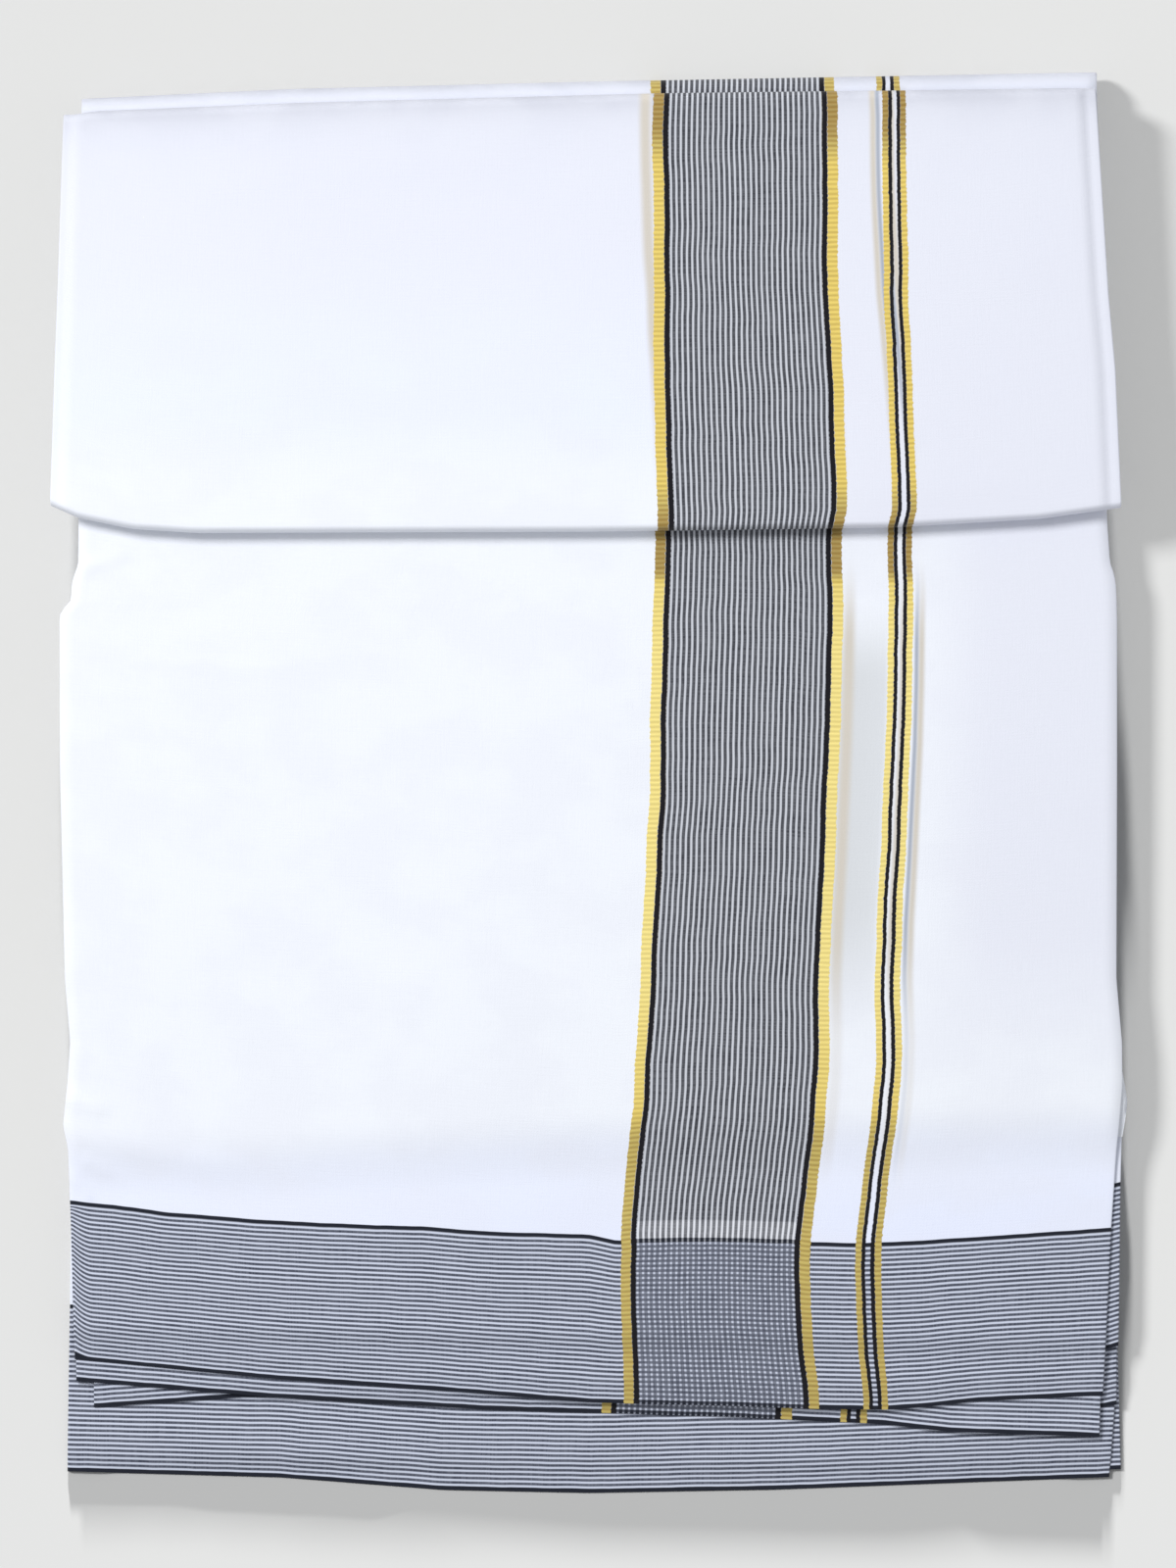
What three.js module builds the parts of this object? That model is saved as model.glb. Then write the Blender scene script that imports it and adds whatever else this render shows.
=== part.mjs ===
// A cotton dhoti, folded for the shelf and laid flat: one woven cloth, folded into quarters across its
// width and into eighths along its length, with the top of the packet turned down in front as a flap.
// Millimetres. +X is to the right of someone looking at the front, +Y is towards the packet's top edge,
// +Z is up from the surface it lies on. The origin is under the middle of the packet, on that surface.

import * as THREE from 'three';

// Walls and gaps. Each ply that shows is one wall; what lies between them is hidden folds.
const PLY = 1.0;
const SEAM = 0.3;
const LEVEL = PLY + SEAM;

// Undersides of the plies, counted up from the surface.
const BACK_PLY = 0;
const INNER_BACK_PLY = BACK_PLY + LEVEL;
const THIRD_END = INNER_BACK_PLY + LEVEL;
const SECOND_END = THIRD_END + LEVEL;
const SIDE_END = SECOND_END + LEVEL;
const FRONT_END = SIDE_END + LEVEL;
const FRONT_PANEL = 9.3;
const FLAP_UNDER = FRONT_PANEL + LEVEL;
const FLAP_FRONT = 16.7;

// A folded edge rolls down by EDGE_DROP over its last EDGE_REACH.
const EDGE_DROP = 2.0;
const EDGE_REACH = 7;

// Hidden folds stand back from the ply over them and show FOLD_LAYERS rounded layers at each side.
const FOLD_INSET = 1.4;
const FOLD_LAYERS = 4;
const LAYER_NOTCH = 0.9;
const LAYER_POINTS = 4;

// A ply laid over a hem runs on level for HEM_CLEAR, then settles on the ply below over SETTLE.
const HEM_CLEAR = 3;
const SETTLE = 6;

// The front panel comes down off the hidden folds over this length.
const DRAPE = 14;

// The end plies start this far below the rounded ends of the hidden folds.
const INNER_FOLD_GAP = 2.4;

// Where the front panel stops below the flap and the ply that wraps the top fold begins.
const TOP_SEAM_Y = 196;
const TOP_ROLL = 4;

// How far the flap's own ply is tucked under it, and how round its two folds are.
const FLAP_TUCK = 14;
const FLAP_ROLL = 4.5;
const FLAP_TOP_ROLL = 2.5;

// Side edges, from the top of the packet down.
const FRONT_SIDES = [
  { y: 210, left: -152.6, right: 152.8 },
  { y: 79, left: -153.6, right: 155.9 },
  { y: 67, left: -153.8, right: 156.8 },
  { y: 58, left: -155.6, right: 158.6 },
  { y: 53, left: -156.6, right: 158.8 },
  { y: 47, left: -159.1, right: 158.9 },
  { y: 5, left: -159.2, right: 158.9 },
  { y: -59, left: -157.7, right: 158.7 },
  { y: -78, left: -156.1, right: 160.4 },
  { y: -91, left: -157.0, right: 160.5 },
  { y: -103, left: -158.3, right: 159.5 },
  { y: -110, left: -156.7, right: 158.7 },
  { y: -133, left: -155.8, right: 157.1 },
  { y: -189, left: -154.3, right: 154.4 },
];
const FOLD_SIDES = [
  { y: 210, left: -151.2, right: 151.4 },
  { y: 72, left: -152.2, right: 154.8 },
  { y: 58, left: -154.2, right: 157.2 },
  { y: 47, left: -157.6, right: 157.4 },
  { y: 5, left: -157.8, right: 157.5 },
  { y: -59, left: -156.3, right: 157.3 },
  { y: -80, left: -154.9, right: 159.0 },
  { y: -89, left: -155.4, right: 160.4 },
  { y: -99, left: -156.7, right: 161.8 },
  { y: -111, left: -155.2, right: 159.9 },
];
const FLAP_SIDES = [
  { y: 209, left: -157.4, right: 152.0 },
  { y: 147, left: -159.5, right: 155.9 },
  { y: 124, left: -160.4, right: 158.0 },
  { y: 83, left: -161.8, right: 159.8 },
];
const BACK_SIDES = [
  { y: 206, left: -151.6, right: 151.8 },
  { y: 60, left: -154.0, right: 156.6 },
  { y: -80, left: -155.0, right: 158.4 },
  { y: -170, left: -155.8, right: 159.2 },
  { y: -207, left: -156.2, right: 160.2 },
];
const INNER_BACK_SIDES = [
  { y: 206, left: -151.0, right: 151.2 },
  { y: 60, left: -153.6, right: 156.0 },
  { y: -80, left: -155.2, right: 158.0 },
  { y: -158, left: -156.3, right: 158.4 },
  { y: -189, left: -156.8, right: 158.2 },
  { y: -210, left: -157.1, right: 156.6 },
];
const THIRD_END_SIDES = [
  { y: -100, left: -149.6, right: 159.0 },
  { y: -188, left: -149.0, right: 158.8 },
];
const SECOND_END_SIDES = [
  { y: -100, left: -154.8, right: 156.4 },
  { y: -197, left: -154.2, right: 153.6 },
];
const SIDE_END_SIDES = [
  { y: -100, left: -154.9, right: 160.4 },
  { y: -121, left: -154.6, right: 159.9 },
  { y: -170, left: -154.0, right: 159.3 },
];

// Edges that run across, from left to right.
const TOP_FOLD = [
  { x: -153, y: 206.0 },
  { x: -89, y: 209.0 },
  { x: 0, y: 211.2 },
  { x: 153, y: 214.0 },
];
const FLAP_TOP = [
  { x: -158, y: 200.8 },
  { x: -152, y: 201.8 },
  { x: -89, y: 204.3 },
  { x: 23, y: 207.2 },
  { x: 152, y: 208.7 },
];
const FLAP_BOTTOM = [
  { x: -162, y: 83.7 },
  { x: -153, y: 79.6 },
  { x: -137, y: 76.3 },
  { x: -118, y: 75.1 },
  { x: 0, y: 75.5 },
  { x: 91, y: 76.7 },
  { x: 135, y: 79.3 },
  { x: 160, y: 82.8 },
];
const INNER_FOLDS = [
  { x: -157, y: -107.3 },
  { x: -98, y: -109.0 },
  { x: 0, y: -103.5 },
  { x: 160, y: -100.5 },
];
const FRONT_HEM = [
  { x: -155, y: -173.5 },
  { x: -98, y: -179.1 },
  { x: -42, y: -183.1 },
  { x: 12, y: -187.0 },
  { x: 88, y: -188.8 },
  { x: 118, y: -186.0 },
  { x: 155, y: -184.2 },
];
const SIDE_HEM = [
  { x: -155, y: -166.0 },
  { x: 156, y: -170.4 },
  { x: 160, y: -169.2 },
];
const SECOND_HEM = [
  { x: -155, y: -180.0 },
  { x: -98, y: -184.8 },
  { x: -31, y: -188.7 },
  { x: 44, y: -191.0 },
  { x: 88, y: -193.1 },
  { x: 108, y: -195.3 },
  { x: 154, y: -196.9 },
];
const THIRD_HEM = [
  { x: -149, y: -188.1 },
  { x: -104, y: -185.0 },
  { x: 154, y: -188.1 },
  { x: 159, y: -187.2 },
];
const INNER_BACK_HEM = [
  { x: -157, y: -207.5 },
  { x: -93, y: -209.3 },
  { x: -44, y: -213.1 },
  { x: 0, y: -214.0 },
  { x: 56, y: -213.0 },
  { x: 157, y: -209.2 },
];
const BACK_HEM = [
  { x: -157, y: -205.5 },
  { x: 158, y: -206.9 },
  { x: 161, y: -206.8 },
];

const whiteCotton = new THREE.MeshStandardMaterial({ color: 0xf1f3fb, roughness: 0.9, metalness: 0 });
const stripedEnd = new THREE.MeshStandardMaterial({ color: 0x8b90a8, roughness: 0.85, metalness: 0 });
const hiddenFolds = new THREE.MeshStandardMaterial({ color: 0xe4e7f2, roughness: 0.95, metalness: 0 });

function clamp(value, low, high) {
  return Math.min(high, Math.max(low, value));
}

function mix(from, to, share) {
  return from + (to - from) * share;
}

function ease(share) {
  const t = clamp(share, 0, 1);
  return t * t * (3 - 2 * t);
}

// The value of one column of a table at a place along another column.
function read(table, along, column, place) {
  const rising = table[0][along] < table[table.length - 1][along];
  const rows = rising ? table : [...table].reverse();
  let row = 1;
  while (row < rows.length - 1 && rows[row][along] < place) {
    row += 1;
  }
  const low = rows[row - 1];
  const high = rows[row];
  const share = clamp((place - low[along]) / (high[along] - low[along]), 0, 1);
  return mix(low[column], high[column], share);
}

const left = (sides, y) => read(sides, 'y', 'left', y);
const right = (sides, y) => read(sides, 'y', 'right', y);
const edge = (line, x) => read(line, 'x', 'y', x);

// How far a ply has rolled down at a place this far in from its side edge.
function roll(inward) {
  return EDGE_DROP * (1 - clamp(inward / EDGE_REACH, 0, 1)) ** 2;
}

function rollAt(sides, x, y) {
  return roll(Math.min(x - left(sides, y), right(sides, y) - x));
}

// How far a ply has come down where it runs on past the hem of the ply below it.
function settled(hem, x, y) {
  return LEVEL * ease((edge(hem, x) - HEM_CLEAR - y) / SETTLE);
}

// Shares of the width, closer together by the side edges where the ply rolls down.
function sharesAcross(width, middle) {
  const margins = [0, 0.25, 0.6, 1].map((part) => (part * EDGE_REACH) / width);
  const shares = [...margins];
  for (let i = 1; i < middle; i += 1) {
    shares.push(mix(margins[3], 1 - margins[3], i / middle));
  }
  return shares.concat(margins.map((share) => 1 - share).reverse());
}

// Shares of the length at even steps.
function sharesAlong(steps) {
  return Array.from({ length: steps + 1 }, (unused, i) => i / steps);
}

// A place on a flat panel, a share of its width and a share of its length up from its lower edge.
function placeOn(panel, across, along) {
  const middleY = (edge(panel.lower, 0) + edge(panel.upper, 0)) / 2;
  let x = mix(left(panel.sides, middleY), right(panel.sides, middleY), across);
  let y = mix(edge(panel.lower, x), edge(panel.upper, x), along);
  x = mix(left(panel.sides, y), right(panel.sides, y), across);
  y = mix(edge(panel.lower, x), edge(panel.upper, x), along);
  return { x, y };
}

// A closed wall between two sheets of points, [across][along]; outer is on the side that faces out.
function wall(inner, outer) {
  const columns = outer.length;
  const rows = outer[0].length;
  const positions = [];
  for (const sheet of [outer, inner]) {
    for (const column of sheet) {
      for (const point of column) {
        positions.push(point.x, point.y, point.z);
      }
    }
  }
  const at = (side, i, j) => side * columns * rows + i * rows + j;
  const index = [];
  const quad = (a, b, c, d) => index.push(a, b, c, a, c, d);
  for (let i = 0; i < columns - 1; i += 1) {
    for (let j = 0; j < rows - 1; j += 1) {
      quad(at(0, i, j), at(0, i + 1, j), at(0, i + 1, j + 1), at(0, i, j + 1));
      quad(at(1, i, j), at(1, i, j + 1), at(1, i + 1, j + 1), at(1, i + 1, j));
    }
    quad(at(1, i, 0), at(1, i + 1, 0), at(0, i + 1, 0), at(0, i, 0));
    quad(at(0, i, rows - 1), at(0, i + 1, rows - 1), at(1, i + 1, rows - 1), at(1, i, rows - 1));
  }
  for (let j = 0; j < rows - 1; j += 1) {
    quad(at(1, 0, j), at(0, 0, j), at(0, 0, j + 1), at(1, 0, j + 1));
    quad(at(0, columns - 1, j), at(1, columns - 1, j), at(1, columns - 1, j + 1), at(0, columns - 1, j + 1));
  }
  return solid(positions, index);
}

function solid(positions, index) {
  const geometry = new THREE.BufferGeometry();
  geometry.setAttribute('position', new THREE.Float32BufferAttribute(positions, 3));
  geometry.setIndex(index);
  geometry.computeVertexNormals();
  return geometry;
}

// A ply that lies flat: its outline, and the height of its underside at each place.
function flatPly(panel) {
  const width = right(panel.sides, 0) - left(panel.sides, 0);
  const across = sharesAcross(width, panel.columns);
  const along = panel.stations ?? sharesAlong(panel.rows);
  const under = across.map((u) => along.map((v) => {
    const { x, y } = placeOn(panel, u, v);
    return { x, y, z: panel.underside(x, y) };
  }));
  const over = under.map((column) => column.map(({ x, y, z }) => ({ x, y, z: z + PLY })));
  return wall(under, over);
}

// A ply that wraps a fold: route gives the points of its middle, in Y and Z, at each place across it,
// measured at middleY.
function wrappedPly(sides, middleY, columns, route) {
  const width = right(sides, middleY) - left(sides, middleY);
  const inner = [];
  const outer = [];
  for (const u of sharesAcross(width, columns)) {
    const points = route(mix(left(sides, middleY), right(sides, middleY), u)).map(({ y, z }) => {
      const x = mix(left(sides, y), right(sides, y), u);
      return { x, y, z };
    });
    const outward = points.map((point, i) => {
      const before = points[Math.max(i - 1, 0)];
      const after = points[Math.min(i + 1, points.length - 1)];
      const run = Math.hypot(after.y - before.y, after.z - before.z);
      return { y: -(after.z - before.z) / run, z: (after.y - before.y) / run };
    });
    const moved = (by) => points.map(({ x, y, z }, i) => ({
      x,
      y: y + outward[i].y * by,
      z: z + outward[i].z * by,
    }));
    inner.push(moved(-PLY / 2));
    outer.push(moved(PLY / 2));
  }
  return wall(inner, outer);
}

// The outline of the hidden folds at one place along the packet: flat or sloping above and below,
// with a row of rounded layers at each side.
function foldSection(sides, y, lowAt, highAt, columns) {
  const west = left(sides, y);
  const east = right(sides, y);
  const xs = sharesAcross(east - west, columns).map((u) => mix(west, east, u)).slice(1, -1);
  const section = xs.map((x) => ({ x, z: lowAt(x, y) }));
  const side = (x, outward) => {
    const low = lowAt(x, y);
    const high = highAt(x, y);
    const steps = FOLD_LAYERS * LAYER_POINTS;
    return Array.from({ length: steps + 1 }, (unused, i) => ({
      x: x - outward * LAYER_NOTCH * (1 - Math.abs(Math.sin((Math.PI * i) / LAYER_POINTS))),
      z: mix(low, high, i / steps),
    }));
  };
  section.push(...side(east, 1));
  section.push(...xs.map((x) => ({ x, z: highAt(x, y) })).reverse());
  section.push(...side(west, -1).reverse());
  return section;
}

// A solid lofted through the sections of the hidden folds, from the bottom of the packet up.
function foldedLayers(stations, sectionAt, yAt) {
  const rings = stations.map((station) => sectionAt(station).map(({ x, z }) => ({
    x,
    y: yAt(x, station),
    z,
  })));
  const count = rings[0].length;
  const positions = rings.flat().flatMap(({ x, y, z }) => [x, y, z]);
  const index = [];
  for (let ring = 0; ring < rings.length - 1; ring += 1) {
    for (let i = 0; i < count; i += 1) {
      const next = (i + 1) % count;
      const a = ring * count + i;
      const b = ring * count + next;
      index.push(a, b + count, b, a, a + count, b + count);
    }
  }
  const contour = rings[0].map(({ x, z }) => new THREE.Vector2(x, z));
  for (const [a, b, c] of THREE.ShapeUtils.triangulateShape(contour, [])) {
    const last = (rings.length - 1) * count;
    index.push(a, b, c, last + a, last + c, last + b);
  }
  return solid(positions, index);
}

// --- the back of the packet -------------------------------------------------------------------

function backPly() {
  return flatPly({
    sides: BACK_SIDES,
    lower: BACK_HEM,
    upper: [{ x: -160, y: TOP_SEAM_Y }, { x: 160, y: TOP_SEAM_Y }],
    underside: () => BACK_PLY,
    columns: 4,
    rows: 8,
  });
}

function innerBackPly() {
  return flatPly({
    sides: INNER_BACK_SIDES,
    lower: INNER_BACK_HEM,
    upper: [{ x: -160, y: TOP_SEAM_Y }, { x: 160, y: TOP_SEAM_Y }],
    underside: (x, y) => INNER_BACK_PLY - settled(BACK_HEM, x, y),
    columns: 9,
    stations: [0, 0.005, 0.01, 0.016, 0.05, 0.13, 0.32, 0.5, 0.66, 1],
  });
}

// The outer back ply comes up round the top fold and is tucked in below the flap.
function backPlyTopFold() {
  const bottom = BACK_PLY + PLY / 2;
  const top = FRONT_PANEL + PLY / 2;
  const middle = (bottom + top) / 2;
  return wrappedPly(FRONT_SIDES, TOP_SEAM_Y, 9, (x) => {
    const crest = edge(TOP_FOLD, x) - TOP_ROLL - PLY / 2;
    const drop = rollAt(FRONT_SIDES, x, TOP_SEAM_Y);
    const route = [];
    for (let i = 0; i <= 8; i += 1) {
      const turn = Math.PI / 2 - (Math.PI * i) / 8;
      route.push({ y: crest + TOP_ROLL * Math.cos(turn), z: middle + (top - middle) * Math.sin(turn) });
    }
    route.unshift({ y: TOP_SEAM_Y + SEAM, z: top });
    route.push({ y: TOP_SEAM_Y + SEAM, z: bottom });
    return route.map(({ y, z }) => ({ y, z: z - (drop * (z - bottom)) / (top - bottom) }));
  });
}

// --- the lower ends of the cloth, one above another ---------------------------------------------

const belowInnerFolds = INNER_FOLDS.map(({ x, y }) => ({ x, y: y - INNER_FOLD_GAP }));

function thirdEnd() {
  return flatPly({
    sides: THIRD_END_SIDES,
    lower: THIRD_HEM,
    upper: belowInnerFolds,
    underside: () => THIRD_END,
    columns: 6,
    rows: 4,
  });
}

function secondEnd() {
  return flatPly({
    sides: SECOND_END_SIDES,
    lower: SECOND_HEM,
    upper: belowInnerFolds,
    underside: (x, y) => SECOND_END - settled(THIRD_HEM, x, y),
    columns: 8,
    stations: [0, 0.03, 0.06, 0.1, 0.14, 0.3, 0.6, 1],
  });
}

function sideEnd() {
  return flatPly({
    sides: SIDE_END_SIDES,
    lower: SIDE_HEM,
    upper: belowInnerFolds,
    underside: () => SIDE_END,
    columns: 5,
    rows: 5,
  });
}

// --- the body of the packet ---------------------------------------------------------------------

// The front panel's underside: high over the hidden folds, lower where only the ends lie below it.
function frontUnderside(x, y) {
  const overFolds = ease((y - edge(INNER_FOLDS, x) + DRAPE * 0.4) / DRAPE);
  const level = mix(FRONT_END - settled(SIDE_HEM, x, y), FRONT_PANEL, overFolds);
  return level - rollAt(FRONT_SIDES, x, y) * overFolds;
}

function frontPanel() {
  return flatPly({
    sides: FRONT_SIDES,
    lower: FRONT_HEM,
    upper: [{ x: -160, y: TOP_SEAM_Y }, { x: 160, y: TOP_SEAM_Y }],
    underside: frontUnderside,
    columns: 11,
    stations: [
      0, 0.012, 0.024, 0.036, 0.05, 0.1, 0.16, 0.19, 0.205, 0.22, 0.24, 0.27, 0.34,
      0.42, 0.51, 0.6, 0.615, 0.63, 0.645, 0.67, 0.72, 0.86, 1,
    ],
  });
}

function bodyFolds() {
  const upperEnd = (x) => edge(TOP_FOLD, x) - TOP_ROLL - PLY - SEAM;
  const yAt = (x, share) => mix(edge(INNER_FOLDS, x), upperEnd(x), share);
  const topRound = (share) => 1.8 * ease((share - 0.975) / 0.025);
  const lowAt = () => THIRD_END;
  const highAt = (x, y, share) => frontUnderside(x, y) - 2 * SEAM - topRound(share);
  const stations = [0, 0.015, 0.03, 0.05, 0.09, 0.15, 0.25, 0.36, 0.48, 0.5, 0.52, 0.56, 0.8, 0.97, 1];
  const section = (share) => foldSection(
    FOLD_SIDES,
    mix(-104, 206, share),
    lowAt,
    (x, y) => highAt(x, yAt(x, share), share),
    8,
  );
  return foldedLayers(stations, section, yAt);
}

// --- the flap: the packet's top, turned down in front --------------------------------------------

const FLAP_LOW = FLAP_UNDER + PLY / 2;
const FLAP_HIGH = FLAP_FRONT + PLY / 2;

// The front ply starts tucked under the flap, rounds its lower fold, covers it and rolls over its top.
function flapFront() {
  const middle = (FLAP_LOW + FLAP_HIGH) / 2;
  const rise = FLAP_HIGH - middle;
  const middleY = 150;
  return wrappedPly(FLAP_SIDES, middleY, 10, (x) => {
    const lower = edge(FLAP_BOTTOM, x) + PLY / 2;
    const upper = edge(FLAP_TOP, x) - PLY / 2;
    const route = [{ y: lower + FLAP_TUCK, z: FLAP_LOW }];
    for (let i = 0; i <= 8; i += 1) {
      const turn = (Math.PI * i) / 8;
      route.push({ y: lower + FLAP_ROLL * (1 - Math.sin(turn)), z: middle - rise * Math.cos(turn) });
    }
    const start = lower + FLAP_ROLL;
    const end = upper - FLAP_TOP_ROLL;
    for (let i = 1; i < 7; i += 1) {
      route.push({ y: mix(start, end, i / 7), z: FLAP_HIGH });
    }
    for (let i = 0; i <= 3; i += 1) {
      const turn = (Math.PI * i) / 6;
      route.push({ y: end + FLAP_TOP_ROLL * Math.sin(turn), z: FLAP_HIGH - FLAP_TOP_ROLL * (1 - Math.cos(turn)) });
    }
    route.push({ y: upper, z: FLAP_LOW });
    const drop = rollAt(FLAP_SIDES, x, middleY);
    return route.map(({ y, z }) => ({ y, z: z - (drop * (z - FLAP_LOW)) / (FLAP_HIGH - FLAP_LOW) }));
  });
}

function flapFolds() {
  const lower = (x) => edge(FLAP_BOTTOM, x) + PLY + SEAM + 1.2;
  const upper = (x) => edge(FLAP_TOP, x) - PLY - SEAM - 0.6;
  const yAt = (x, share) => mix(lower(x), upper(x), share);
  const inset = FLAP_SIDES.map((row) => ({
    y: row.y,
    left: row.left + FOLD_INSET,
    right: row.right - FOLD_INSET,
  }));
  const lift = (share) => LEVEL * (1 - ease((share - 0.11) / 0.04));
  const pinch = (share) => 1.6 * (1 - ease(share / 0.03)) + 1.8 * ease((share - 0.98) / 0.02);
  const lowAt = (x, y, share) => FLAP_UNDER + lift(share) + pinch(share);
  const highAt = (x, y, share) => FLAP_FRONT - SEAM - rollAt(FLAP_SIDES, x, y) - pinch(share);
  const stations = [0, 0.012, 0.03, 0.11, 0.13, 0.15, 0.3, 0.45, 0.65, 0.85, 0.98, 1];
  const section = (share) => foldSection(
    inset,
    mix(82, 204, share),
    (x, y) => lowAt(x, y, share),
    (x, y) => highAt(x, y, share),
    8,
  );
  return foldedLayers(stations, section, yAt);
}

// --- the packet -----------------------------------------------------------------------------------

function addPiece(group, name, geometry, material) {
  const mesh = new THREE.Mesh(geometry, material);
  mesh.name = name;
  group.add(mesh);
}

const dhoti = new THREE.Group();
addPiece(dhoti, 'back_ply', backPly(), whiteCotton);
addPiece(dhoti, 'back_ply_top_fold', backPlyTopFold(), whiteCotton);
addPiece(dhoti, 'inner_back_ply', innerBackPly(), stripedEnd);
addPiece(dhoti, 'third_end', thirdEnd(), stripedEnd);
addPiece(dhoti, 'second_end', secondEnd(), stripedEnd);
addPiece(dhoti, 'side_end', sideEnd(), stripedEnd);
addPiece(dhoti, 'body_folds', bodyFolds(), hiddenFolds);
addPiece(dhoti, 'front_panel', frontPanel(), whiteCotton);
addPiece(dhoti, 'flap_folds', flapFolds(), hiddenFolds);
addPiece(dhoti, 'flap_front', flapFront(), whiteCotton);

export default dhoti;
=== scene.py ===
from math import pi

import bpy
import numpy as np
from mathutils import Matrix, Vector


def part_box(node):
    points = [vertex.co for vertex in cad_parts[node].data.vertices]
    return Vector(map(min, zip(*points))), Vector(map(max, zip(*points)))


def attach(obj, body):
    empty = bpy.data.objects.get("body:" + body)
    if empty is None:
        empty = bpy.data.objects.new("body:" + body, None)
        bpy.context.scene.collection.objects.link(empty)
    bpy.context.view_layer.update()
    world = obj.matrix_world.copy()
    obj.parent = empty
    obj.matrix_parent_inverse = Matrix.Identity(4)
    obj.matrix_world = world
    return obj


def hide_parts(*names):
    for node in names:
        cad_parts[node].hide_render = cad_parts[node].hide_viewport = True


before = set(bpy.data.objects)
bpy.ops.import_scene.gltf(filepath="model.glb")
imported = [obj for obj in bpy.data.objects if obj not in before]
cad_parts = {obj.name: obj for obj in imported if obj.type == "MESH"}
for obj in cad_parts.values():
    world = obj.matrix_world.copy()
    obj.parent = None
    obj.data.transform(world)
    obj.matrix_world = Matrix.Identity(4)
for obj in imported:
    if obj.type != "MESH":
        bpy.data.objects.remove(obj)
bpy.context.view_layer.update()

# --- The table top and the camera ------------------------------------------------------------------
# The packet lies on a plain pale board with pale walls far off. One soft lamp to its upper left lights the
# cloth, and two more throw its shadow right and down on the board. The camera looks straight down.

MM = 0.001
EVEN_LIGHT = 1.12
BOARD_SIZE = 200.0
CAMERA_HEIGHT = 4.0
FRAME_LENGTH = 471.7 * MM
FRAME_LEVEL = 9.0 * MM
FRAME_CENTRE = (-0.3 * MM, -0.3 * MM)


def dyed(red, green, blue):
    """The reflectance of a cloth that looks this colour, 0 to 255 a channel, under the lamp."""
    shares = np.array([red, green, blue]) / 255
    light = np.where(shares > 0.04045, ((shares + 0.055) / 1.055) ** 2.4, shares / 12.92)
    return (*(light / EVEN_LIGHT), 1.0)


def new_material(name):
    material = bpy.data.materials.new(name)
    material.use_nodes = True
    return material, material.node_tree, material.node_tree.nodes["Principled BSDF"]


board_mesh = bpy.data.meshes.new("board")
reach = BOARD_SIZE / 2
board_mesh.from_pydata(
    [(-reach, -reach, 0), (reach, -reach, 0), (reach, reach, 0), (-reach, reach, 0)], [], [(0, 1, 2, 3)]
)
board = bpy.data.objects.new("board", board_mesh)
bpy.context.collection.objects.link(board)
board_paint, _, board_shader = new_material("matt board")
board_shader.inputs["Base Color"].default_value = dyed(174, 174, 173)
board_shader.inputs["Roughness"].default_value = 0.9
board_shader.inputs["Specular IOR Level"].default_value = 0.1
board_mesh.materials.append(board_paint)

camera_data = bpy.data.cameras.new("camera")
camera_data.sensor_width = 36.0
camera_data.lens = 36.0 * (CAMERA_HEIGHT - FRAME_LEVEL) / FRAME_LENGTH
camera_data.clip_end = 400.0
camera = bpy.data.objects.new("camera", camera_data)
camera.location = (*FRAME_CENTRE, CAMERA_HEIGHT)
bpy.context.collection.objects.link(camera)
bpy.context.scene.camera = camera
bpy.context.scene.view_settings.view_transform = "Standard"


def hang_lamp(name, kind, place, power, lights):
    """A soft lamp aimed at the packet, lighting only what is in the collection given."""
    lamp_data = bpy.data.lights.new(name, kind)
    lamp_data.energy = power
    lamp = bpy.data.objects.new(name, lamp_data)
    lamp.location = place
    lamp.rotation_mode = "QUATERNION"
    lamp.rotation_quaternion = (-lamp.location).to_track_quat("-Z", "Y")
    lamp.light_linking.receiver_collection = lights
    bpy.context.collection.objects.link(lamp)
    return lamp_data


cloth_lit = bpy.data.collections.new("cloth lit")
board_lit = bpy.data.collections.new("board lit")
board_lit.objects.link(board)
cloth_lamp = hang_lamp("cloth lamp", "AREA", (-1.15, 1.15, 2.2), 56.0, cloth_lit)
cloth_lamp.shape = "DISK"
cloth_lamp.size = 0.9
board_lamp = hang_lamp("board lamp", "SUN", (-3.9, 1.9, 2.8), 4.5, board_lit)
board_lamp.angle = 0.2
low_board_lamp = hang_lamp("low board lamp", "SUN", (-0.2, 6.0, 0.75), 19.5, board_lit)
low_board_lamp.angle = 0.04

world = bpy.data.worlds.new("pale walls")
world.use_nodes = True
world.node_tree.nodes["Background"].inputs["Color"].default_value = (0.95, 0.97, 1.0, 1.0)
world.node_tree.nodes["Background"].inputs["Strength"].default_value = 0.55
bpy.context.scene.world = world

# --- The cloth ------------------------------------------------------------------------------------
# One length of fine plain-woven cotton, bleached with a blue tint, with two gilt-edged borders down its
# length and each end striped across with dark weft. Every ply is the same cloth, so places on it are told in
# its own
# millimetres: across from the wide border's left black line, and along from the hem.

LEFT_FOLD = -180.0
WIDE_LEFT = 0.0
WIDE_RIGHT = 48.6
NARROW = 70.0
RIGHT_FOLD = 135.0
END_LENGTH = 49.2
LINE_WIDTH = 1.2
LEAD = 5.3
WARP_PITCH = 1.644
WEFT_PITCH = 1.474
GILT_OUTER = 4.0
BLACK_HALF = 0.87
NARROW_GILT = 2.8
NARROW_GILT_HALF = 0.9
NARROW_BLACK = 1.31
NARROW_BLACK_HALF = 0.59
THREAD_PITCH = 0.46
RIB_PITCH = 1.45
RELIEF = 0.12


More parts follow.
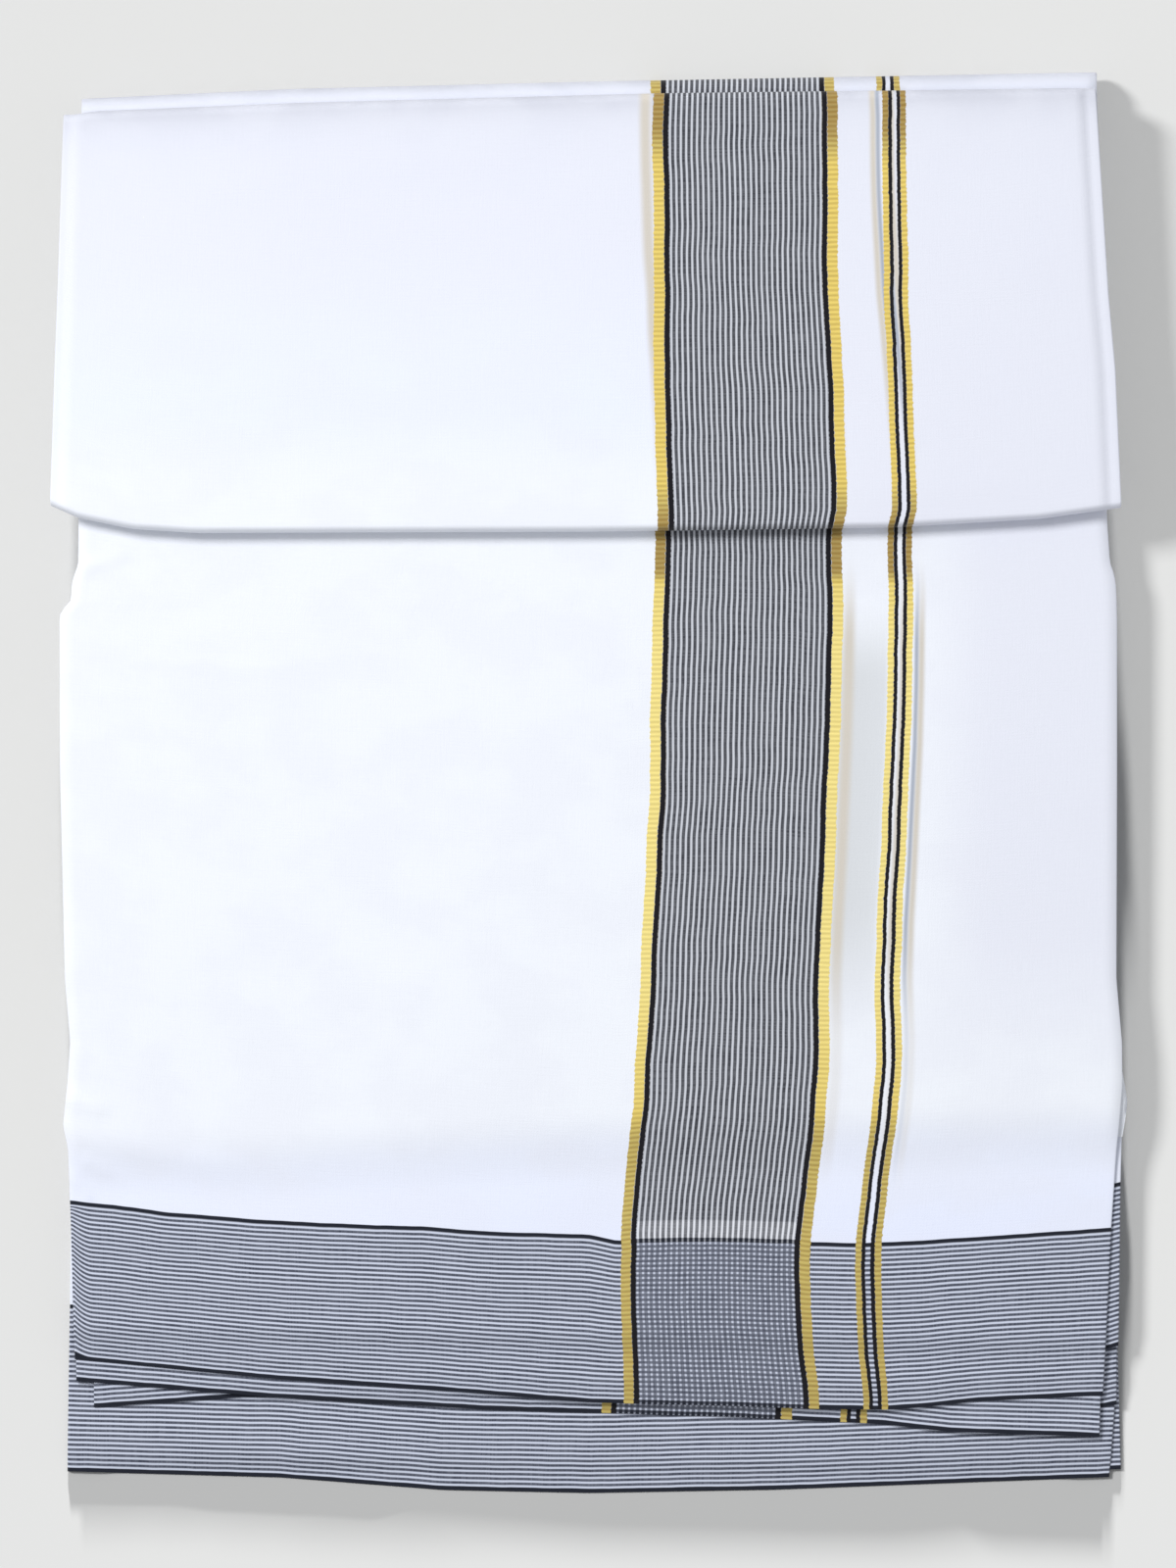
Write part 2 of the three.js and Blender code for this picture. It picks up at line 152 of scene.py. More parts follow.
def calc(tree, operation, *values):
    node = tree.nodes.new("ShaderNodeMath")
    node.operation = operation
    for socket, value in zip(node.inputs, values):
        if isinstance(value, bpy.types.NodeSocket):
            tree.links.new(value, socket)
        else:
            socket.default_value = value
    return node.outputs[0]


def fade(tree, value, start, end):
    """0 where value is at start, 1 where it is at end."""
    node = tree.nodes.new("ShaderNodeMapRange")
    node.interpolation_type = "SMOOTHSTEP"
    node.inputs["From Min"].default_value = start
    node.inputs["From Max"].default_value = end
    tree.links.new(value, node.inputs["Value"])
    return node.outputs[0]


def band(tree, place, centre, half, soft=0.12):
    """1 within half of the centre, 0 beyond."""
    away = calc(tree, "ABSOLUTE", calc(tree, "SUBTRACT", place, centre))
    return fade(tree, away, half + soft, half - soft)


def mottle(tree, across, along, across_size, along_size, detail=2.0, seed=0.0):
    """Uneven patches of about this size, 0 to 1."""
    place = tree.nodes.new("ShaderNodeCombineXYZ")
    tree.links.new(calc(tree, "DIVIDE", across, across_size), place.inputs["X"])
    tree.links.new(calc(tree, "DIVIDE", along, along_size), place.inputs["Y"])
    place.inputs["Z"].default_value = seed
    node = tree.nodes.new("ShaderNodeTexNoise")
    node.inputs["Scale"].default_value = 1.0
    node.inputs["Detail"].default_value = detail
    tree.links.new(place.outputs[0], node.inputs["Vector"])
    return node.outputs["Fac"]


def blend(tree, share, first, second, mode="MIX"):
    """A colour between two, or the second laid on the first in another mode."""
    node = tree.nodes.new("ShaderNodeMix")
    node.data_type = "RGBA"
    node.blend_type = mode
    for socket, value in ((node.inputs[0], share), (node.inputs[6], first), (node.inputs[7], second)):
        if isinstance(value, bpy.types.NodeSocket):
            tree.links.new(value, socket)
        else:
            socket.default_value = value
    return node.outputs[2]


def new_group(name, inputs, outputs):
    tree = bpy.data.node_groups.new(name, "ShaderNodeTree")
    for label in inputs:
        tree.interface.new_socket(label, in_out="INPUT", socket_type="NodeSocketFloat")
    for label, kind in outputs.items():
        tree.interface.new_socket(label, in_out="OUTPUT", socket_type=kind)
    given = tree.nodes.new("NodeGroupInput").outputs
    made = tree.nodes.new("NodeGroupOutput").inputs
    return tree, given, made


def place_group(tree, group, values):
    node = tree.nodes.new("ShaderNodeGroup")
    node.node_tree = group
    for label, value in values.items():
        if isinstance(value, bpy.types.NodeSocket):
            tree.links.new(value, node.inputs[label])
        else:
            node.inputs[label].default_value = value
    return node.outputs


VALUE = "NodeSocketFloat"

# The weave: threads over and under, with thick and thin places along them.
weave, given, made = new_group("weave", ["Across", "Along"], {"Relief": VALUE, "Slub": VALUE})
thick_weft = mottle(weave, given["Across"], given["Along"], 9.0, 0.5, 2.0)
thick_warp = mottle(weave, given["Across"], given["Along"], 0.5, 9.0, 2.0, 7.0)
slub = calc(weave, "MULTIPLY", calc(weave, "ADD", thick_weft, thick_warp), 0.5)
over = calc(weave, "SINE", calc(weave, "MULTIPLY", given["Across"], 2 * pi / THREAD_PITCH))
under = calc(weave, "SINE", calc(weave, "MULTIPLY", given["Along"], 2 * pi / THREAD_PITCH))
crossing = calc(weave, "MULTIPLY", over, under)
relief = calc(weave, "ADD", calc(weave, "MULTIPLY", crossing, 0.25), slub)
weave.links.new(relief, made["Relief"])
weave.links.new(slub, made["Slub"])

# The borders: where gilt thread, black warp, dark warp stripes and the narrow border's white lie.
borders, given, made = new_group(
    "borders",
    ["Across", "Along"],
    {"Gilt": VALUE, "Black": VALUE, "Stripe": VALUE, "Inside": VALUE, "Rib": VALUE},
)
wander = calc(borders, "SUBTRACT", mottle(borders, given["Across"], given["Along"], 60.0, 22.0, 2.0), 0.5)
place = calc(borders, "ADD", given["Across"], calc(borders, "MULTIPLY", wander, 1.4))
ragged = calc(borders, "SUBTRACT", mottle(borders, given["Across"], given["Along"], 6.0, 0.8, 2.0, 3.0), 0.5)
gilt_place = calc(borders, "ADD", place, calc(borders, "MULTIPLY", ragged, 0.9))
gilt_half = (GILT_OUTER - BLACK_HALF) / 2
gilt_centre = (GILT_OUTER + BLACK_HALF) / 2
gilt = band(borders, gilt_place, WIDE_LEFT - gilt_centre, gilt_half)
gilt = calc(borders, "MAXIMUM", gilt, band(borders, gilt_place, WIDE_RIGHT + gilt_centre, gilt_half))
narrow_away = calc(borders, "ABSOLUTE", calc(borders, "SUBTRACT", gilt_place, NARROW))
gilt = calc(borders, "MAXIMUM", gilt, band(borders, narrow_away, NARROW_GILT, NARROW_GILT_HALF))
black_place = calc(borders, "ADD", place, calc(borders, "MULTIPLY", ragged, 0.45))
line_half = BLACK_HALF - 0.05
line_soft = 0.16
black = band(borders, black_place, WIDE_LEFT, line_half, line_soft)
black = calc(borders, "MAXIMUM", black, band(borders, black_place, WIDE_RIGHT, line_half, line_soft))
narrow_away = calc(borders, "ABSOLUTE", calc(borders, "SUBTRACT", black_place, NARROW))
narrow_black = band(borders, narrow_away, NARROW_BLACK, NARROW_BLACK_HALF, line_soft)
black = calc(borders, "MAXIMUM", black, narrow_black)
wide_middle = (WIDE_LEFT + WIDE_RIGHT) / 2
inside = band(borders, place, wide_middle, wide_middle - BLACK_HALF, 0.1)
wave = calc(borders, "DIVIDE", calc(borders, "SUBTRACT", place, BLACK_HALF), WARP_PITCH)
stripe = fade(borders, calc(borders, "SINE", calc(borders, "MULTIPLY", wave, 2 * pi)), 1.0, -0.35)
ribs = calc(borders, "SINE", calc(borders, "MULTIPLY", given["Along"], 2 * pi / RIB_PITCH))
rib = calc(borders, "ADD", calc(borders, "MULTIPLY", ribs, 0.45), 0.6)
rib = calc(borders, "ADD", rib, calc(borders, "MULTIPLY", ragged, 0.9))
borders.links.new(gilt, made["Gilt"])
borders.links.new(black, made["Black"])
borders.links.new(calc(borders, "MULTIPLY", stripe, inside), made["Stripe"])
borders.links.new(inside, made["Inside"])
borders.links.new(rib, made["Rib"])

# The ply below, seen faintly through this one: its gilt thread looks cream and its dark warp grey.
ply_below, given, made = new_group("ply below", ["Across"], {"Cream": VALUE, "Grey": VALUE})
away = calc(ply_below, "ABSOLUTE", calc(ply_below, "SUBTRACT", given["Across"], wide_middle))
cream = band(ply_below, away, wide_middle + gilt_centre, gilt_half, 1.2)
grey = fade(ply_below, away, wide_middle + 0.8, wide_middle - 0.8)
away = calc(ply_below, "ABSOLUTE", calc(ply_below, "SUBTRACT", given["Across"], NARROW))
narrow_gilt = band(ply_below, away, NARROW_GILT, NARROW_GILT_HALF, 0.8)
narrow_black = band(ply_below, away, NARROW_BLACK, NARROW_BLACK_HALF, 0.5)
cream = calc(ply_below, "MAXIMUM", cream, narrow_gilt)
grey = calc(ply_below, "MAXIMUM", grey, narrow_black)
ply_below.links.new(cream, made["Cream"])
ply_below.links.new(grey, made["Grey"])

# The striped end: dark weft across the last of the cloth, with a dark line at the hem and at its start.
# For a few millimetres before it the dark warp is paler.
ends, given, made = new_group(
    "striped end",
    ["Across", "Along"],
    {"End": VALUE, "Stripe": VALUE, "Line": VALUE, "Lead": VALUE},
)
waver = calc(ends, "SUBTRACT", mottle(ends, given["Across"], given["Along"], 12.0, 40.0, 2.0), 0.5)
row = calc(ends, "ADD", given["Along"], calc(ends, "MULTIPLY", waver, 0.5))
wave = calc(ends, "DIVIDE", calc(ends, "SUBTRACT", row, LINE_WIDTH), WEFT_PITCH)
stripe = fade(ends, calc(ends, "SINE", calc(ends, "MULTIPLY", wave, 2 * pi)), 0.9, -0.5)
end = fade(ends, row, END_LENGTH + 0.1, END_LENGTH - 0.1)
hem_line = fade(ends, row, LINE_WIDTH + 0.1, LINE_WIDTH - 0.1)
start_line = band(ends, row, END_LENGTH + LINE_WIDTH / 2, LINE_WIDTH / 2)
lead = band(ends, row, END_LENGTH + LINE_WIDTH + LEAD / 2, LEAD / 2, 0.4)
ends.links.new(end, made["End"])
ends.links.new(calc(ends, "MULTIPLY", stripe, end), made["Stripe"])
ends.links.new(calc(ends, "MAXIMUM", hem_line, start_line), made["Line"])
ends.links.new(lead, made["Lead"])

WHITE = dyed(248, 251, 257)
# A bluer, darker white: a blue tint, and on the front ply painted shade below the step off the hidden folds.
BLUE_TINT_AND_SHADE = dyed(239, 244, 262)
# Painted shade: the white where the cloth lies further from the lamp.
FALLOFF_SHADE = dyed(237, 239, 250)
PALE_WARP = dyed(212, 215, 223)
DARK_WARP = dyed(46, 48, 56)
PALE_WEFT = dyed(214, 220, 237)
PALE_LEAD = dyed(236, 238, 245)
DARK_WEFT = dyed(54, 59, 76)
CHECK_SHADE = 0.96
BLACK_THREAD = dyed(20, 18, 24)
DARK_LINE = dyed(28, 32, 44)
CREAM_SHADE = dyed(217, 210, 199)
GREY_SHADE = dyed(176, 183, 196)
# Painted shade between the two borders of the front ply.
GAP_SHADE = dyed(219, 222, 225)
# Painted shade where the cloth rounds away at a fold edge.
EDGE_SHADE = dyed(204, 206, 217)
PATCHES = dyed(238, 240, 250)
THICK_THREADS = dyed(205, 208, 220)
# Painted shade in the hollows between the gilt's ribs.
GILT_RIB_SHADE = dyed(150, 116, 48)
# The gilt's colour from painted shade to painted glint.
GILT_SHADE_TO_GLINT = [
    (0.0, dyed(172, 146, 84)),
    (0.35, dyed(208, 188, 108)),
    (0.75, dyed(238, 212, 112)),
    (1.0, dyed(251, 232, 144)),
]


def one_less(tree, value, share=1.0):
    """What is left of 1 once this share of a value is taken away."""
    return calc(tree, "SUBTRACT", 1.0, calc(tree, "MULTIPLY", value, share))


def dye_ground(tree, here, threads, told):
    """The plain cloth's colour: its blue tint, painted shade below the step, towards the right side, under
    fold edges and between the borders, and the ply below showing through.
    """
    colour = blend(tree, told("blue_tint_and_shade"), WHITE, BLUE_TINT_AND_SHADE)
    colour = blend(tree, told("painted_falloff_shade"), colour, FALLOFF_SHADE)
    colour = blend(tree, told("painted_edge_shade"), colour, EDGE_SHADE)
    patches = fade(tree, mottle(tree, here["Across"], here["Along"], 26.0, 20.0, 4.0, 11.0), 0.4, 0.6)
    colour = blend(tree, calc(tree, "MULTIPLY", patches, 0.3), colour, PATCHES)
    colour = blend(tree, calc(tree, "MULTIPLY", threads, 0.05), colour, THICK_THREADS)
    colour = blend(tree, told("painted_gap_shade"), colour, GAP_SHADE)
    below_across = calc(tree, "ADD", here["Across"], told("below_shift"))
    below = place_group(tree, ply_below, {"Across": below_across})
    faint = told("see_through")
    colour = blend(tree, calc(tree, "MULTIPLY", below["Cream"], faint), colour, CREAM_SHADE)
    return blend(tree, calc(tree, "MULTIPLY", below["Grey"], faint), colour, GREY_SHADE)


def dye_stripes(tree, colour, border, end, threads):
    """The dark warp and weft laid over the ground. Where they cross both are paler, which makes the check."""
    striped = calc(tree, "MAXIMUM", border["Inside"], end["End"])
    pale_warp = blend(tree, end["Lead"], PALE_WARP, PALE_LEAD)
    colour = blend(tree, striped, colour, blend(tree, end["End"], pale_warp, PALE_WEFT))
    both = calc(tree, "MULTIPLY", border["Inside"], end["End"])
    check = blend(tree, 1.0, colour, (CHECK_SHADE, CHECK_SHADE, CHECK_SHADE, 1.0), "MULTIPLY")
    colour = blend(tree, both, colour, check)
    warp_share = one_less(tree, both, 0.2)
    warp_share = calc(tree, "SUBTRACT", warp_share, calc(tree, "MULTIPLY", end["Lead"], 0.12))
    warp_left = one_less(tree, calc(tree, "MULTIPLY", border["Stripe"], warp_share))
    weft_left = one_less(tree, calc(tree, "MULTIPLY", end["Stripe"], one_less(tree, both, 0.12)))
    dark = one_less(tree, calc(tree, "MULTIPLY", warp_left, weft_left))
    dark = calc(tree, "MULTIPLY", dark, one_less(tree, threads, 0.2))
    colour = blend(tree, dark, colour, blend(tree, end["End"], DARK_WARP, DARK_WEFT))
    crossed = calc(tree, "MULTIPLY", one_less(tree, border["Stripe"]), border["Inside"])
    line = calc(tree, "MULTIPLY", end["Line"], one_less(tree, crossed, 0.4))
    colour = blend(tree, line, colour, DARK_LINE)
    return blend(tree, border["Black"], colour, BLACK_THREAD)


def dye_gilt(tree, rib, painted_glint):
    """Gilt thread: colour from painted shade to painted glint, with painted brown shade between its ribs that
    leaves it nearly smooth where the glint is high.
    """
    ramp = tree.nodes.new("ShaderNodeValToRGB")
    stops = ramp.color_ramp.elements
    while len(stops) < len(GILT_SHADE_TO_GLINT):
        stops.new(0.5)
    for stop, (share, tone) in zip(stops, GILT_SHADE_TO_GLINT):
        stop.position = share
        stop.color = tone
    tree.links.new(painted_glint, ramp.inputs[0])
    # Painted shade between the ribs, less where the painted glint is high.
    rib_shade_share = calc(tree, "SUBTRACT", 0.85, calc(tree, "MULTIPLY", painted_glint, 0.6))
    return blend(tree, rib, blend(tree, rib_shade_share, ramp.outputs[0], GILT_RIB_SHADE), ramp.outputs[0])


def lay_cotton(name):
    """The cloth's material. It reads the places on the cloth, its blue tint, and the painted shade and
    painted glint it carries there.
    """
    material, tree, shader = new_material(name)
    cloth = tree.nodes.new("ShaderNodeUVMap")
    cloth.uv_map = "cloth"
    split = tree.nodes.new("ShaderNodeSeparateXYZ")
    tree.links.new(cloth.outputs[0], split.inputs[0])
    here = {"Across": split.outputs["X"], "Along": split.outputs["Y"]}

    def told(label):
        node = tree.nodes.new("ShaderNodeAttribute")
        node.attribute_name = label
        return node.outputs["Fac"]

    woven = place_group(tree, weave, here)
    border = place_group(tree, borders, here)
    end = place_group(tree, ends, here)
    thick_threads = fade(tree, woven["Slub"], 0.25, 0.75)
    colour = dye_ground(tree, here, thick_threads, told)
    colour = dye_stripes(tree, colour, border, end, thick_threads)
    colour = blend(tree, border["Gilt"], colour, dye_gilt(tree, border["Rib"], told("painted_glint")))
    tree.links.new(colour, shader.inputs["Base Color"])
    tree.links.new(calc(tree, "MULTIPLY", border["Gilt"], 0.15), shader.inputs["Metallic"])
    roughness = calc(tree, "SUBTRACT", 0.92, calc(tree, "MULTIPLY", border["Gilt"], 0.4))
    tree.links.new(roughness, shader.inputs["Roughness"])
    shader.inputs["Specular IOR Level"].default_value = 0.2
    shader.inputs["Sheen Weight"].default_value = 0.08
    shader.inputs["Sheen Roughness"].default_value = 0.6

    thread_height = calc(tree, "MULTIPLY", woven["Relief"], one_less(tree, border["Gilt"], 0.85))
    rib_height = calc(tree, "MULTIPLY", border["Gilt"], border["Rib"])
    bump = tree.nodes.new("ShaderNodeBump")
    bump.inputs["Strength"].default_value = 0.7
    bump.inputs["Distance"].default_value = RELIEF * MM
    tree.links.new(calc(tree, "ADD", thread_height, rib_height), bump.inputs["Height"])
    tree.links.new(bump.outputs[0], shader.inputs["Normal"])
    return material


cotton = lay_cotton("bordered cotton")

# --- The back of the packet ------------------------------------------------------------------------
# The outermost ply at the back lies on the table, with the ply inside it one level up and its striped end
# a little longer. Both are single plies whose sides are folds, pressed nearly flat.

CLOTH = 0.3
CLEARANCE = 0.3
PLY_STEP = 1.3
FOLD_RADIUS = 0.35
TURNED_IN = 4
SIDE_REACH = 8.0
HEM_DROOP = 8.0
HEM_SAG = 0.75
BOW_REACH = 6.0
BORDERS_HIDDEN = -160.0

BACK_SIDES = [
    (206, -151.6, 151.8), (60, -154.0, 156.6), (-80, -155.0, 158.4), (-170, -155.8, 159.2),
    (-207, -156.2, 160.2),
]
INNER_BACK_SIDES = [
    (206, -151.0, 151.2), (60, -153.6, 156.0), (-80, -155.2, 158.0), (-158, -156.3, 158.4),
    (-189, -156.8, 158.2), (-210, -157.1, 156.6),
]
BACK_HEM = [(-157, -205.5), (158, -206.9), (161, -206.8)]
INNER_BACK_HEM = [(-157, -207.5), (-93, -209.3), (-44, -213.1), (0, -214.0), (56, -213.0), (157, -209.2)]
TOP_SEAM = 196.0


def top_of(node):
    """The height of a ply's upper face over the table, in millimetres."""
    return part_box(node)[1].z / MM


def ease(share):
    share = np.clip(share, 0, 1)
    return share * share * (3 - 2 * share)


def read(table, place, column=1, rounded=1.2):
    """A table's column at each place along its first column, with its corners rounded off."""
    rows = sorted(table)
    places = [row[0] for row in rows]
    values = [row[column] for row in rows]
    steps = np.linspace(-rounded, rounded, 7)
    return np.mean([np.interp(place + step, places, values) for step in steps], axis=0)


def outward(points):
    """Unit normals of a grid of points, [across, along]."""
    normal = np.cross(np.gradient(points, axis=0), np.gradient(points, axis=1))
    return normal / np.linalg.norm(normal, axis=2, keepdims=True)


def unit(vectors):
    return vectors / np.linalg.norm(vectors, axis=-1, keepdims=True)


def turn_sides(points, across):
    """The grid with a ply's two sides folded under it, how far across the cloth each column is, and how
    many columns were added at each side."""
    radius = FOLD_RADIUS
    normal = outward(points)
    angles = np.linspace(0, pi, 8)[1:]
    sides = []
    for edge, step in ((0, 1), (len(points) - 1, -1)):
        out = unit(points[edge] - points[edge + step])
        centre = points[edge] - radius * normal[edge]
        turned = [centre + radius * (np.cos(angle) * normal[edge] + np.sin(angle) * out) for angle in angles]
        for i in range(1, TURNED_IN + 1):
            column = edge + step * i
            turned.append(points[column] - 2 * radius * normal[column])
        back = np.abs(across[edge] - across[edge + step * np.arange(1, TURNED_IN + 1)])
        sides.append((np.array(turned), np.concatenate([radius * angles, radius * pi + back])))
    (west, west_run), (east, east_run) = sides
    grid = np.concatenate([west[::-1], points, east])
    return grid, np.concatenate([across[0] - west_run[::-1], across, across[-1] + east_run]), len(west)


def sew_shell(name, points, cloth, told):
    """A closed shell one cloth thick, on a grid of points in millimetres, with its places on the cloth."""
    columns, rows, _ = points.shape
    normal = outward(points) * CLOTH / 2
    both = np.concatenate([(points + normal).reshape(-1, 3), (points - normal).reshape(-1, 3)])
    at = np.arange(columns * rows).reshape(columns, rows)
    under = at + columns * rows

    def quads(a, b, c, d):
        return np.stack([a.ravel(), b.ravel(), c.ravel(), d.ravel()], axis=1)

    faces = np.concatenate([
        quads(at[:-1, :-1], at[1:, :-1], at[1:, 1:], at[:-1, 1:]),
        quads(under[:-1, :-1], under[:-1, 1:], under[1:, 1:], under[1:, :-1]),
        quads(under[:-1, 0], under[1:, 0], at[1:, 0], at[:-1, 0]),
        quads(at[:-1, -1], at[1:, -1], under[1:, -1], under[:-1, -1]),
        quads(under[0, :-1], at[0, :-1], at[0, 1:], under[0, 1:]),
        quads(at[-1, :-1], under[-1, :-1], under[-1, 1:], at[-1, 1:]),
    ])
    told = {label: np.tile(values.ravel(), 2) for label, values in told.items()}
    return make_piece(name, both, faces.tolist(), np.tile(cloth.reshape(-1, 2), (2, 1)), told)


def make_piece(name, points, faces, cloth, told):
    """A piece of the cotton. Cloth gives each point's place on it, and told what the cotton reads there."""
    mesh = bpy.data.meshes.new(name)
    mesh.from_pydata((points * MM).tolist(), [], faces)
    corner = np.empty(len(mesh.loops), int)
    mesh.loops.foreach_get("vertex_index", corner)
    layer = mesh.uv_layers.new(name="cloth")
    layer.data.foreach_set("uv", cloth[corner].ravel())
    for label, values in told.items():
        note = mesh.attributes.new(label, "FLOAT", "POINT")
        note.data.foreach_set("value", values.astype(np.float32))
    mesh.shade_smooth()
    mesh.set_sharp_from_angle(angle=1.0)
    mesh.materials.append(cotton)
    piece = bpy.data.objects.new(name, mesh)
    bpy.context.collection.objects.link(piece)
    cloth_lit.objects.link(piece)
    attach(piece, "root")
    return piece


def stations(*stretches):
    """Places along stretches given as (start, end, steps), each joined to the next."""
    parts = [np.linspace(start, end, steps + 1)[:-1] for start, end, steps in stretches]
    return np.concatenate([*parts, [stretches[-1][1]]])


ACROSS = stations(
    (LEFT_FOLD, LEFT_FOLD + 8, 8), (LEFT_FOLD + 8, -6, 62), (-6, WIDE_LEFT, 4), (WIDE_LEFT, WIDE_RIGHT, 16),
    (WIDE_RIGHT, NARROW, 9), (NARROW, RIGHT_FOLD - 7, 20), (RIGHT_FOLD - 7, RIGHT_FOLD, 7),
)


def lie_across(sides, lines=None):
    """How far right each place across the cloth lies, at each place up the packet.
    lines gives where the two black lines of the wide border and the narrow border run."""
    def place(across, y):
        west = read(sides, y, 1) + FOLD_RADIUS
        east = read(sides, y, 2) - FOLD_RADIUS
        if lines is None:
            return west + (east - west) * (across - LEFT_FOLD) / (RIGHT_FOLD - LEFT_FOLD)
        marks = (LEFT_FOLD, WIDE_LEFT, WIDE_RIGHT, NARROW, RIGHT_FOLD)
        spots = (west, *(read(lines, y, column) for column in (1, 2, 3)), east)
        x = spots[0]
        for i in range(len(marks) - 1):
            share = np.clip((across - marks[i]) / (marks[i + 1] - marks[i]), 0, 1)
            x = x + share * (spots[i + 1] - spots[i])
        return x
    return place


def lay_ply(name, lie, hem, start, upper, rows, height, told, across=ACROSS, cloth_shift=0.0, bow=0.0):
    """A ply laid flat from its hem up: start is where its striped end stops, upper where the ply does.
    bow is how far the striped end's weft is pulled up at the left fold."""
    end_rows, plain_rows = rows
    u = across[:, None]
    shares = stations((0, 1, end_rows), (1, 2, plain_rows))[None, :]
    x = lie(u, start(u * 0)) + 0 * shares
    for _ in range(4):
        low, middle, high = hem(x), start(x), upper(x)
        y = np.where(shares < 1, low + (middle - low) * shares, middle + (high - middle) * (shares - 1))
        x = lie(u, y)
    along = np.where(shares < 1, END_LENGTH * shares, END_LENGTH + y - start(x))
    middle_of_end = np.clip(4 * shares * (1 - shares), 0, 1) ** 0.5
    along = along - bow * np.clip(1 - (u - LEFT_FOLD) / BOW_REACH, 0, 1) ** 2 * middle_of_end
    near_side = 1 - ease((np.minimum(u - LEFT_FOLD, RIGHT_FOLD - u) - SIDE_REACH) / SIDE_REACH)
    z = np.maximum(height(x, y), CLOTH / 2 + 2 * FOLD_RADIUS * near_side)
    return fold_sides(name, across + cloth_shift, x, y, z, along, told)


def fold_sides(name, across, x, y, z, along, told):
    """Folds a laid ply's sides under, carries its places on the cloth and its notes round, and sews it."""
    points, columns, turns = turn_sides(np.stack([x, y, z], axis=2), across)
    pad = ((turns, turns), (0, 0))
    along = np.pad(along, pad, mode="edge")
    cloth = np.stack([columns[:, None] + 0 * along, along], axis=2)
    notes = {label: np.pad(rule(x, y) + 0 * x, pad, mode="edge") for label, rule in told.items()}
    return sew_shell(name, points, cloth, notes)


def droop(hem, x, y, by):
    """How far a ply has come down at its hem, to lie on what is below."""
    return by * (1 - ease((y - hem(x)) / HEM_DROOP))


def step_off(hem, x, y):
    """How far a ply has come down where the one below it stops at its own hem."""
    return PLY_STEP * (1 - ease((y - hem(x) + 3) / 6))


def ripple(x, y, by, seed=0.0):
    """The slow uneven swell of pressed cloth after handling."""
    return by * (
        np.sin(x / 31 + y / 47 + 1.3 * seed) + 0.8 * np.sin(x / 19 - y / 53 + 2.1 + seed)
        + 0.5 * np.sin(y / 17 + x / 83 + 0.7 * seed)
    )


def creases(x, y, table):
    """The sum of listed folds. Each row is from x, from y, to x, to y, height and half width."""
    total = 0 * x
    for from_x, from_y, to_x, to_y, high, half in table:
        run = np.array([to_x - from_x, to_y - from_y])
        length = np.hypot(*run)
        along = ((x - from_x) * run[0] + (y - from_y) * run[1]) / length
        aside = ((x - from_x) * run[1] - (y - from_y) * run[0]) / length
        ends = ease(along / (0.25 * length) + 0.5) * ease((length - along) / (0.25 * length) + 0.5)
        total = total + high * np.exp(-((aside / half) ** 2)) * ends
    return total


def run_along(table, shift=0.0):
    """An edge or line across the packet: how far up it lies at each place across."""
    return lambda x: read(table, x) + shift


back_hem = run_along(BACK_HEM)
inner_back_hem = run_along(INNER_BACK_HEM)
top_seam = run_along([(-160, TOP_SEAM), (160, TOP_SEAM)])


back_level = top_of("back_ply") - CLOTH / 2
back_ply = lay_ply(
    "back_ply_cloth",
    lie_across(BACK_SIDES),
    back_hem,
    run_along(BACK_HEM, END_LENGTH),
    top_seam,
    (12, 60),
    lambda x, y: back_level - droop(back_hem, x, y, 0.5),
    across=ACROSS[::2],
    cloth_shift=BORDERS_HIDDEN,
    told={"blue_tint_and_shade": lambda x, y: 0.5},
)
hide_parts("back_ply")

inner_back_level = top_of("inner_back_ply") - CLOTH / 2
INNER_BACK_CREASES = [
    (-120, -199, -60, -203, 0.35, 3.0), (20, -205, 90, -203, 0.3, 2.6), (110, -200, 150, -196, 0.35, 3.0),
]


def inner_back_height(x, y):
    level = inner_back_level - step_off(back_hem, x, y)
    return level - droop(inner_back_hem, x, y, 0.7) + creases(x, y, INNER_BACK_CREASES)


inner_back = lay_ply(
    "inner_back_ply_cloth",
    lie_across(INNER_BACK_SIDES),
    inner_back_hem,
    run_along(INNER_BACK_HEM, END_LENGTH),
    top_seam,
    (30, 60),
    inner_back_height,
    cloth_shift=BORDERS_HIDDEN,
    told={"blue_tint_and_shade": lambda x, y: 0.6},
)
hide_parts("inner_back_ply")

# --- The three inner ends ---------------------------------------------------------------------------
# Below the front ply three more ends of the same cloth stop one above another. Each is a single ply laid
# flat, its sides pressed folds, and its hem rests on the ply below. The second one's borders show.

INNER_FOLDS = [(-157, -107.3), (-98, -109.0), (0, -103.5), (160, -100.5)]
INNER_FOLD_GAP = 2.4
THIRD_SIDES = [(-100, -149.6, 159.0), (-188, -149.0, 158.8)]
THIRD_HEM = [(-149, -188.1), (-104, -185.0), (154, -188.1), (159, -187.2)]
SECOND_SIDES = [(-100, -154.8, 156.4), (-197, -154.2, 153.6)]
SECOND_HEM = [
    (-155, -180.0), (-98, -184.8), (-31, -188.7), (44, -191.0), (88, -193.1), (108, -195.3), (154, -196.9),
]
SECOND_LINES = [(-100, 9.0, 58.5, 81.0), (-197, 7.2, 56.8, 79.5)]
SIDE_SIDES = [(-100, -154.9, 160.4), (-121, -154.6, 159.9), (-170, -154.0, 159.3)]
SIDE_HEM = [(-155, -166.0), (156, -170.4), (160, -169.2)]
SIDE_END_LENGTH = 48.0

